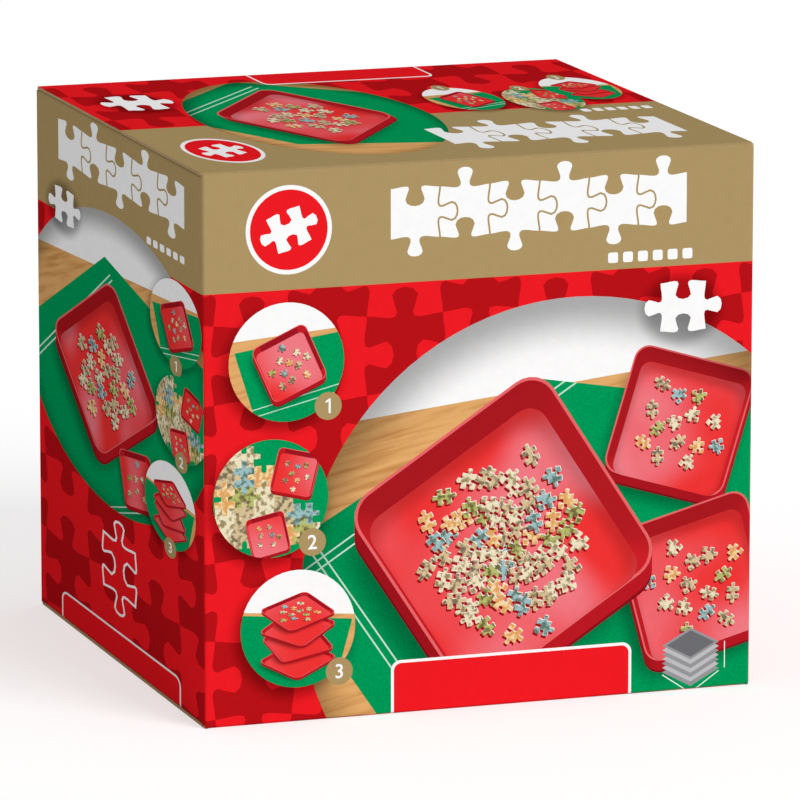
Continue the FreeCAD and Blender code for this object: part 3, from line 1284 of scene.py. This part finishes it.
@dataclass
class PrintedSheet:
    """Printed paper on one panel of the carton.

    Attributes:
        panel: the panel that carries it.
        artwork: its printed shapes.
    """

    panel: Panel
    artwork: Artwork = field(default_factory=Artwork)

    def draw(self) -> None:
        """Print the panel's artwork."""
        raise NotImplementedError

    def cut(self) -> tuple[bmesh.types.BMesh, list[tuple[Ink, tuple[Shade, ...]]]]:
        """Cut the sheet along its artwork and lay it round the folds.

        Returns:
            The surface, and the colour and shading of each of its finishes.
        """
        points, edges, faces = [], [], []
        for outline in [self.panel.outline()] + [layer.outline for layer in self.artwork.layers]:
            faces.append(list(range(len(points), len(points) + len(outline))))
            points += [Vector(point) for point in outline]
        for start, end in self.panel.crease_lines():
            edges.append((len(points), len(points) + 1))
            points += [Vector(start), Vector(end)]
        corners, _, cells, _, _, owners = delaunay_2d_cdt(points, edges, faces, 1, 1e-4, True)
        form = bmesh.new()
        places = [form.verts.new(self.panel.place(corner)) for corner in corners]
        finishes = []
        for cell, owner in zip(cells, owners):
            if 0 in owner:
                shown = self.top_layer(owner)
                look = (shown.ink, shown.shades)
                if look not in finishes:
                    finishes.append(look)
                face = form.faces.new([places[index] for index in cell])
                face.material_index = finishes.index(look)
        loose = [vert for vert in form.verts if not vert.link_faces]
        bmesh.ops.delete(form, geom=loose, context="VERTS")
        return form, finishes

    def top_layer(self, owner: Sequence[int]) -> Layer:
        """The layer that shows where several lie on one another.

        Args:
            owner: numbers of the outlines round that place, 0 being the sheet's own.

        Returns:
            The uppermost layer whose windows are all there too.
        """
        for number in sorted(owner, reverse=True):
            if number:
                layer = self.artwork.layers[number - 1]
                if all(window + 1 in owner for window in layer.windows):
                    return layer
        return self.artwork.layers[0]

    def build(self) -> bpy.types.Object:
        """Print, cut and fold the sheet, give it its thickness and dress it.

        Returns:
            The printed piece.
        """
        self.draw()
        form, finishes = self.cut()
        bmesh.ops.dissolve_limit(
            form, angle_limit=math.radians(1), use_dissolve_boundaries=False,
            verts=form.verts[:], edges=form.edges[:], delimit={"MATERIAL"},
        )
        bmesh.ops.triangulate(form, faces=form.faces[:])
        bmesh.ops.solidify(form, geom=form.faces[:], thickness=-SHEET * MM)
        bmesh.ops.reverse_faces(form, faces=form.faces[:])
        piece = mesh_object(self.panel.name, form)
        mesh = piece.data
        for number, (ink, shades) in enumerate(finishes):
            name = f"{self.panel.name}_{ink.name}_{number}"
            mesh.materials.append(PrintFinish(self.panel, ink, shades).material(name))
        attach(piece, self.panel.body)
        LOG.info("%s: %d faces, %d finishes", piece.name, len(mesh.polygons), len(finishes))
        return piece


@dataclass
class PictureSheet(PrintedSheet):
    """Printed paper with three small round pictures and a white jigsaw piece as a badge.

    Attributes:
        pictures: centres of the pictures.
        picture_radius: their radius.
        disc: place of the number discs, in radii from a picture's centre.
        badge: centre of the badge.
        badge_size: its side.
        badge_reach: half width and half height of its shadow.
    """

    pictures: tuple[Point, ...] = ()
    picture_radius: float = 0.0
    disc: Point = (0.0, 0.0)
    badge: Point = (0.0, 0.0)
    badge_size: float = 0.0
    badge_reach: Point = (0.0, 0.0)

    def shadows(self) -> tuple[Shade, ...]:
        """Soft shadows of the pictures and of the badge.

        Returns:
            The shading.
        """
        art, radius = self.artwork, self.picture_radius
        casts = tuple(art.cast(place, (radius, radius)) for place in self.pictures)
        return casts + (art.cast(self.badge, self.badge_reach, 0.5, 1.45),)

    def draw_pictures(self) -> None:
        """Print the badge and the pictures."""
        piece = jigsaw_piece(self.badge, self.badge_size, (-1, 1, -1, 1), 6)
        self.artwork.add(WHITE, piece)
        for text, place in zip("123", self.pictures):
            self.artwork.round_picture(text, place, self.picture_radius, self.disc)


@dataclass
class FrontSheet(PictureSheet):
    """Front of the carton: header, jigsaw ground, round field and three small round pictures."""

    pictures: tuple[Point, ...] = ((31.0, 131.0), (25.0, 82.0), (35.0, 34.0))
    picture_radius: float = 21.5
    disc: Point = (0.72, -0.78)
    badge: Point = (181.0, 142.0)
    badge_size: float = 17.5
    badge_reach: Point = (13.0, 11.0)

    def draw(self) -> None:
        """Print the front."""
        art = self.artwork
        art.shades = self.shadows()
        art.wall(SIZE)
        mat = [(24.0, 60.0), (92.0, -40.0), (330.0, 6.0), (262.0, 96.0), (126.0, 119.0)]
        trays = [
            TrayMotif((180.0, 100.0), 48.0, -17.0, 14, 4, soft=True),
            TrayMotif((187.0, 42.0), 52.0, 15.0, 15, 6, soft=True),
            TrayMotif((113.0, 63.0), 88.0, 33.0, 72, 1, soft=True),
        ]
        horizon = ((20.0, 104.0), (260.0, 130.0))
        art.field((140.0, 44.0), (104.0, 104.0), horizon, mat, trays)
        art.lines((20.0, 50.0), (140.0, 126.0), (-5.0, -8.0))
        art.lines((30.0, 60.0), (98.0, -40.0), (9.0, 12.0))
        for tray in trays:
            art.tray(tray)
        art.tray_icon((185.0, 17.0), 22.0)
        art.windows, art.shades = (), ()
        art.label((70.0, 0.0), (92.0, 19.5))
        art.seal((32.0, 178.5), 16.0)
        art.chain((126.0, 181.8), 18.8, 6)
        art.squares((154.0, 161.3), 3.8)
        self.draw_pictures()


@dataclass
class SideSheet(PictureSheet):
    """Left or right side: header, wide field and label, drawn wide along the carton's depth."""

    pictures: tuple[Point, ...] = ((88.0, 141.0), (91.0, 107.0), (84.0, 73.0))
    picture_radius: float = 15.5
    disc: Point = (0.0, -1.0)
    badge: Point = (18.0, 160.0)
    badge_size: float = 12.5
    badge_reach: Point = (9.5, 8.5)
    pictured: bool = True

    def draw(self) -> None:
        """Print the side."""
        art = self.artwork
        art.stretch = (SIDE_STRETCH, 1.0)
        width = SIZE / SIDE_STRETCH
        if self.pictured:
            art.shades = self.shadows()
        art.wall(width)
        if self.pictured:
            self.draw_field()
        art.windows, art.shades = (), ()
        art.band(WHITE, HEIGHT + DUST_PRINT[0], HEIGHT + DUST_PRINT[1], width)
        art.chain((54.0, 184.5), 16.0, 5)
        art.squares((72.0, 165.5), 2.7)
        art.label((14.0, 0.0), (76.0, 12.0), 0.8)
        piece = jigsaw_piece((52.0, 36.0), 21.0, (1, -1, 1, -1), 6)
        art.add(WHITE, piece)
        art.add(BRIGHT_RED, inset(piece, 0.9))
        if self.pictured:
            self.draw_pictures()

    def draw_field(self) -> None:
        """Print the side's field with its two trays."""
        art = self.artwork
        mat = [(-30.0, 92.0), (30.0, 40.0), (140.0, 84.0), (112.0, 128.0), (44.0, 150.0)]
        trays = [
            TrayMotif((44.0, 108.0), 50.0, 38.0, 24, 2, soft=True),
            TrayMotif((64.0, 74.0), 20.0, 12.0, 7, 4),
        ]
        art.field((50.0, 112.0), (60.0, 55.0), ((-20.0, 140.0), (124.0, 152.0)), mat, trays)
        art.lines((-20.0, 88.0), (44.0, 148.0), (-5.0, -7.0))
        art.lines((30.0, 44.0), (140.0, 88.0), (4.0, 6.0), 0.5)
        for tray in trays:
            art.tray(tray)


@dataclass
class BackSheet(PrintedSheet):
    """Back of the carton: header, jigsaw ground and a white panel with two trays."""

    def draw(self) -> None:
        """Print the back."""
        art = self.artwork
        art.wall(SIZE)
        art.chain((122.0, 180.0), 21.5, 5)
        art.seal((32.0, 178.5), 16.0)
        trays = [
            TrayMotif((68.0, 84.0), 56.0, 20.0, 16, 2, soft=True),
            TrayMotif((142.0, 84.0), 56.0, -14.0, 16, 5, soft=True),
        ]
        art.shades = tuple(art.under(tray, 0.68) for tray in trays)
        art.add(WHITE, rounded_box((SIZE / 2, 80.0), (160.0, 104.0), 5.0))
        art.shades = ()
        for tray in trays:
            art.tray(tray)
        art.label((58.0, 0.0), (92.0, 19.5))


@dataclass
class LidSheet(PictureSheet):
    """Lid with its tuck flap: tan along the front, ground and field behind.

    Attributes:
        tan_depth: how far back the tan reaches, in the stretched grid.
    """

    pictures: tuple[Point, ...] = ((142.0, 63.0), (170.0, 58.0), (192.0, 68.0))
    picture_radius: float = 13.5
    disc: Point = (0.0, 1.0)
    badge: Point = (24.0, 78.0)
    badge_size: float = 16.0
    badge_reach: Point = (12.0, 9.5)
    tan_depth: float = 49.0

    def draw(self) -> None:
        """Print the lid."""
        art = self.artwork
        art.stretch = (1.0, SIDE_STRETCH)
        depth = self.panel.height / SIDE_STRETCH
        art.shades = self.shadows()
        art.ground(self.tan_depth, depth + 6.0, SIZE)
        art.band(TAN, -40.0, self.tan_depth, SIZE)
        mat = [(20.0, 64.0), (72.0, 96.0), (124.0, 70.0), (120.0, 16.0), (52.0, 24.0)]
        tray = TrayMotif((74.0, 55.0), 46.0, 36.0, 22, 3, soft=True)
        horizon = ((20.0, 140.0), (140.0, 140.0))
        art.field((76.0, 52.0), (43.0, 43.0), horizon, mat, [tray])
        art.lines((20.0, 60.0), (74.0, 93.0), (-4.0, -6.5))
        art.tray(tray)
        art.windows, art.shades = (), ()
        art.chain((150.0, 24.0), 18.0, 5)
        art.squares((176.0, 43.4), 3.2)
        art.seal((22.0, 22.0), 13.5)
        self.draw_pictures()
        art.add(WHITE, rounded_box((116.0, depth), (68.0, 26.0), 3.0))
        art.add(BRIGHT_RED, rounded_box((116.0, depth), (66.4, 24.4), 2.4))


@dataclass
class BaseSheet(PrintedSheet):
    """Underside: the jigsaw ground alone."""

    def draw(self) -> None:
        """Print the underside."""
        self.artwork.ground(-BLEED, SIZE + BLEED, SIZE)


@dataclass(frozen=True)
class BoardFinish:
    """Brown fluted board, seen inside and at the cut edges.

    Attributes:
        liner: sRGB colour of the liner.
        fibre: sRGB colour of its darker fibres.
        fibres: repeats of the fibres in a metre along each axis.
        clouds: repeats of its clouds in a metre.
        roughness: its roughness.
        gloss: its specular level.
        flute_pitch: distance of the flute lines that show through, in metres.
        relief: height of flutes and fibres, in metres.
    """

    liner: tuple[int, int, int] = (180, 151, 110)
    fibre: tuple[int, int, int] = (158, 129, 90)
    fibres: Triple = (2400.0, 900.0, 900.0)
    clouds: float = 60.0
    roughness: float = 0.82
    gloss: float = 0.25
    flute_pitch: float = 0.0025
    relief: float = 0.00006

    def material(self) -> bpy.types.Material:
        """Build the material.

        Returns:
            The material.
        """
        nodes = Nodes.surface("board")
        place = nodes.coordinates
        fibre = nodes.noise(nodes.mapped(place, (0, 0, 0), self.fibres), 1.0, 4.0)
        share = nodes.ramp(fibre, (0.35, 0.8))
        colour = nodes.mix(share, linear(self.liner), linear(self.fibre))
        nodes.feed(nodes.shader, {
            "Base Color": nodes.scaled(colour, nodes.clouds(self.clouds, (0.96, 1.02))),
            "Roughness": self.roughness, "Specular IOR Level": self.gloss,
        })
        wave_rate = 20
        flutes = {"Vector": place, "Scale": 2 * math.pi / (wave_rate * self.flute_pitch)}
        wave = nodes.add("TexWave", flutes, "Fac", wave_profile="SIN", bands_direction="X")
        parts = (nodes.math("MULTIPLY", wave, 0.6), nodes.math("MULTIPLY", fibre, 0.4))
        nodes.bump(nodes.math("ADD", *parts), self.relief, 0.5)
        return nodes.owner


@dataclass(frozen=True)
class PlasticFinish:
    """Red moulded plastic with a fine matt grain.

    Attributes:
        tone: sRGB colour.
        roughness: mean roughness.
        clouds: repeats of its clouds in a metre.
        scuffs: repeats of its scuffs in a metre.
        grain: repeats of its grain in a metre.
        relief: height of its grain, in metres.
    """

    tone: tuple[int, int, int] = (205, 28, 34)
    roughness: float = 0.4
    clouds: float = 35.0
    scuffs: float = 160.0
    grain: float = 2200.0
    relief: float = 0.00003

    def material(self) -> bpy.types.Material:
        """Build the material.

        Returns:
            The material.
        """
        nodes = Nodes.surface("tray_plastic")
        place = nodes.coordinates
        cloud = nodes.clouds(self.clouds, (0.95, 1.03))
        limits = (self.roughness - 0.05, self.roughness + 0.08)
        scuff = nodes.ramp(nodes.noise(place, self.scuffs, 4.0), (0.35, 0.7), limits)
        nodes.feed(nodes.shader, {
            "Base Color": nodes.scaled(linear(self.tone), cloud), "Roughness": scuff,
            "Subsurface Weight": 0.04, "Subsurface Scale": 0.002,
        })
        nodes.bump(nodes.noise(place, self.grain, 3.0), self.relief, 0.5)
        return nodes.owner


def dress_nodes(names: Sequence[str], material: bpy.types.Material) -> None:
    """Put a material on CAD nodes.

    Args:
        names: the nodes.
        material: the material.
    """
    for name in names:
        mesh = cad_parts[name].data
        mesh.materials.clear()
        mesh.materials.append(material)
        LOG.info("%s: %s", name, material.name)


@dataclass
class CartonBoard:
    """The folded board itself, which keeps its CAD shape."""

    nodes: tuple[str, ...] = ("carton_body", "tuck_lid")

    def dress(self) -> None:
        """Give the board its finish."""
        dress_nodes(self.nodes, BoardFinish().material())


@dataclass
class TrayStack:
    """The nested trays, which keep their CAD shape."""

    nodes: tuple[str, ...] = tuple(n for n in sorted(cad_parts) if n.startswith("tray_"))

    def dress(self) -> None:
        """Give the trays their finish."""
        dress_nodes(self.nodes, PlasticFinish().material())


@dataclass
class Studio:
    """Floor, light and camera.

    Attributes:
        ambient: brightness of the surroundings.
        key: strength of the main lamp.
        key_from: direction that it shines from.
        key_spread: how wide it is in the sky, in degrees.
        floor_reach: half the floor's width, in metres.
        floor_glow: light that the floor adds where the camera sees it.
        floor_tones: how much light the floor throws on the carton and back to the camera.
        target: point the camera looks at, in metres.
        azimuth: the camera's direction, in degrees.
        elevation: its height over the horizon, in degrees.
        roll: its turn about the view, in degrees.
        distance: its distance from the target along the view.
        shift: its offset to the right and up.
        lens: focal length for a 36 mm sensor.
    """

    ambient: float = 0.47
    key: float = 1.80
    key_from: Triple = (0.242, -0.455, 0.29)
    key_spread: float = 35.0
    floor_reach: float = 6.0
    floor_glow: float = 0.56
    floor_tones: Point = (0.86, 0.6)
    target: Triple = (-0.004, -0.054, 0.100)
    azimuth: float = -18.89
    elevation: float = 11.491
    roll: float = 0.016
    distance: float = 2.6594
    shift: Point = (-0.00896, 0.00316)
    lens: float = 329.08

    def light(self) -> None:
        """Even white surroundings and one broad lamp from the front right."""
        world = bpy.data.worlds.new("studio")
        bpy.context.scene.world = world
        nodes = Nodes(world, "Background", "OutputWorld")
        levels = {"Value": nodes.seen(), "To Min": self.ambient, "To Max": 1.0}
        strength = nodes.add("MapRange", levels)
        nodes.feed(nodes.shader, {"Color": (1, 1, 1, 1), "Strength": strength})
        lamp = bpy.data.lights.new("key", "SUN")
        lamp.energy = self.key
        lamp.angle = math.radians(self.key_spread)
        turn = Vector(self.key_from).to_track_quat("Z", "Y").to_euler()
        new_object("key", lamp).rotation_euler = turn

    def floor(self) -> bpy.types.Object:
        """Plain pale floor just under the printed underside.

        Returns:
            The floor.
        """
        form = bmesh.new()
        bmesh.ops.create_grid(form, x_segments=1, y_segments=1, size=self.floor_reach)
        bmesh.ops.translate(form, vec=(0, 0, -1.5 * SHEET * MM), verts=form.verts)
        floor = mesh_object("floor", form)
        nodes = Nodes.surface("floor")
        seen = nodes.seen()
        tones = [(tone, tone, tone, 1.0) for tone in self.floor_tones]
        nodes.feed(nodes.shader, {
            "Base Color": nodes.mix(seen, *tones), "Roughness": 1.0, "Specular IOR Level": 0.0,
            "Emission Color": (1, 1, 1, 1),
            "Emission Strength": nodes.math("MULTIPLY", seen, self.floor_glow),
        })
        floor.data.materials.append(nodes.owner)
        return floor

    def camera(self) -> None:
        """Camera at the photograph's viewing angle."""
        a, e = math.radians(self.azimuth), math.radians(self.elevation)
        back = Vector((math.sin(a) * math.cos(e), -math.cos(a) * math.cos(e), math.sin(e)))
        right = Vector((math.cos(a), math.sin(a), 0))
        up = back.cross(right)
        turn = Matrix.Rotation(math.radians(self.roll), 3, back)
        right, up = turn @ right, turn @ up
        camera = bpy.data.cameras.new("camera")
        camera.sensor_width = 36
        camera.lens = self.lens
        camera.clip_start, camera.clip_end = 0.05, 50
        place = Vector(self.target) + back * self.distance
        place += right * self.shift[0] + up * self.shift[1]
        holder = new_object("camera", camera)
        axes = Matrix((right, up, back)).transposed().to_4x4()
        holder.matrix_world = Matrix.Translation(place) @ axes
        bpy.context.scene.camera = holder


def wall_panel(
    name: str, origin: Triple, right: Triple, seam: bool, dust: Point, tapers: Point
) -> Panel:
    """Panel of a side wall, with its inner bottom flap and its dust flap.

    Args:
        name: the printed piece's name.
        origin: its lower left corner.
        right: direction to its right.
        seam: whether it meets the glue seam at its left, where the sheet turns no fold.
        dust: left and right end of the dust flap's bend.
        tapers: how far the dust flap's left and right free corner stand in.

    Returns:
        The panel.
    """
    flap = flap_outline(dust, DUST_REACH - FOLD, DUST_CORNER, tapers, DUST_SHOULDER - FOLD)
    return Panel(
        name, "carton", origin, right, (0, 0, 1), SIZE, HEIGHT,
        wraps=(not seam, True), bottom=inner_fold(),
        top=Crease(DUST_LEVEL - FOLD, RIM_LEVEL, *dust, 90.0, flap=flap),
    )


def inner_fold() -> Crease:
    """Fold of a wall into its inner bottom flap."""
    return Crease(BOARD + FOLD, BOARD, SIZE / 2 - BASE_FLAP_HALF, SIZE / 2 + BASE_FLAP_HALF)


def sheets() -> list[PrintedSheet]:
    """The carton's six printed sheets, each with its panel.

    Returns:
        The sheets.
    """
    half = SIZE / 2
    lid_depth = half - LID_LOW.y
    lid_ends = (EDGE_INSET, SIZE - EDGE_INSET)
    tuck = flap_outline((TUCK_SIDE, SIZE - TUCK_SIDE), TUCK_REACH - FOLD, TUCK_CORNER)
    left_dust, right_dust = (DUST_BACK, SIZE - DUST_FRONT), (DUST_FRONT, SIZE - DUST_BACK)
    front = Panel(
        "front_print", "carton", (-half, -half, 0), (1, 0, 0), (0, 0, 1), SIZE, HEIGHT,
        ends=(0.0, HEIGHT - EDGE_INSET), bottom=Crease(FOLD, 0.0, BASE_SIDE, SIZE - BASE_SIDE),
    )
    left = wall_panel(
        "left_print", (-half, half, 0), (0, -1, 0), True, left_dust, (0.0, DUST_TAPER)
    )
    right = wall_panel(
        "right_print", (half, -half, 0), (0, 1, 0), False, right_dust, (DUST_TAPER, 0.0)
    )
    back = Panel(
        "back_print", "carton", (half, half, 0), (-1, 0, 0), (0, 0, 1), SIZE - BOARD, HEIGHT,
        ends=(0.0, RIM_LEVEL - SWING_ROOM), bottom=inner_fold(),
    )
    lid = Panel(
        "lid_print", "lid", (-half, LID_LOW.y, HEIGHT), (1, 0, 0), (0, 1, 0), SIZE, lid_depth,
        wraps=(False, False), insets=(EDGE_INSET, EDGE_INSET),
        bottom=Crease(FOLD, FOLD, *lid_ends, TUCK_ARC, 0.0, tuck),
        top=Crease(lid_depth - FOLD, lid_depth - FOLD, *lid_ends, HINGE_ARC, 0.0),
    )
    base = Panel(
        "base_print", "carton", (-half, half, 0), (1, 0, 0), (0, -1, 0), SIZE, SIZE,
        wraps=(False, False), insets=(EDGE_INSET, EDGE_INSET), ends=(EDGE_INSET, SIZE),
        top=Crease(SIZE - FOLD, SIZE - 2 * FOLD, BASE_SIDE, SIZE - BASE_SIDE, relief=0.0),
    )
    return [
        FrontSheet(front), SideSheet(left), SideSheet(right, pictured=False), BackSheet(back),
        LidSheet(lid), BaseSheet(base),
    ]


def main() -> None:
    """Dress the carton, print its panels and set the studio up."""
    logging.basicConfig(level=logging.INFO, format="%(message)s")
    bpy.context.scene.view_settings.view_transform = "Standard"
    CartonBoard().dress()
    TrayStack().dress()
    for sheet in sheets():
        sheet.build()
    studio = Studio()
    studio.light()
    studio.floor()
    studio.camera()


if __name__ == "__main__":
    main()
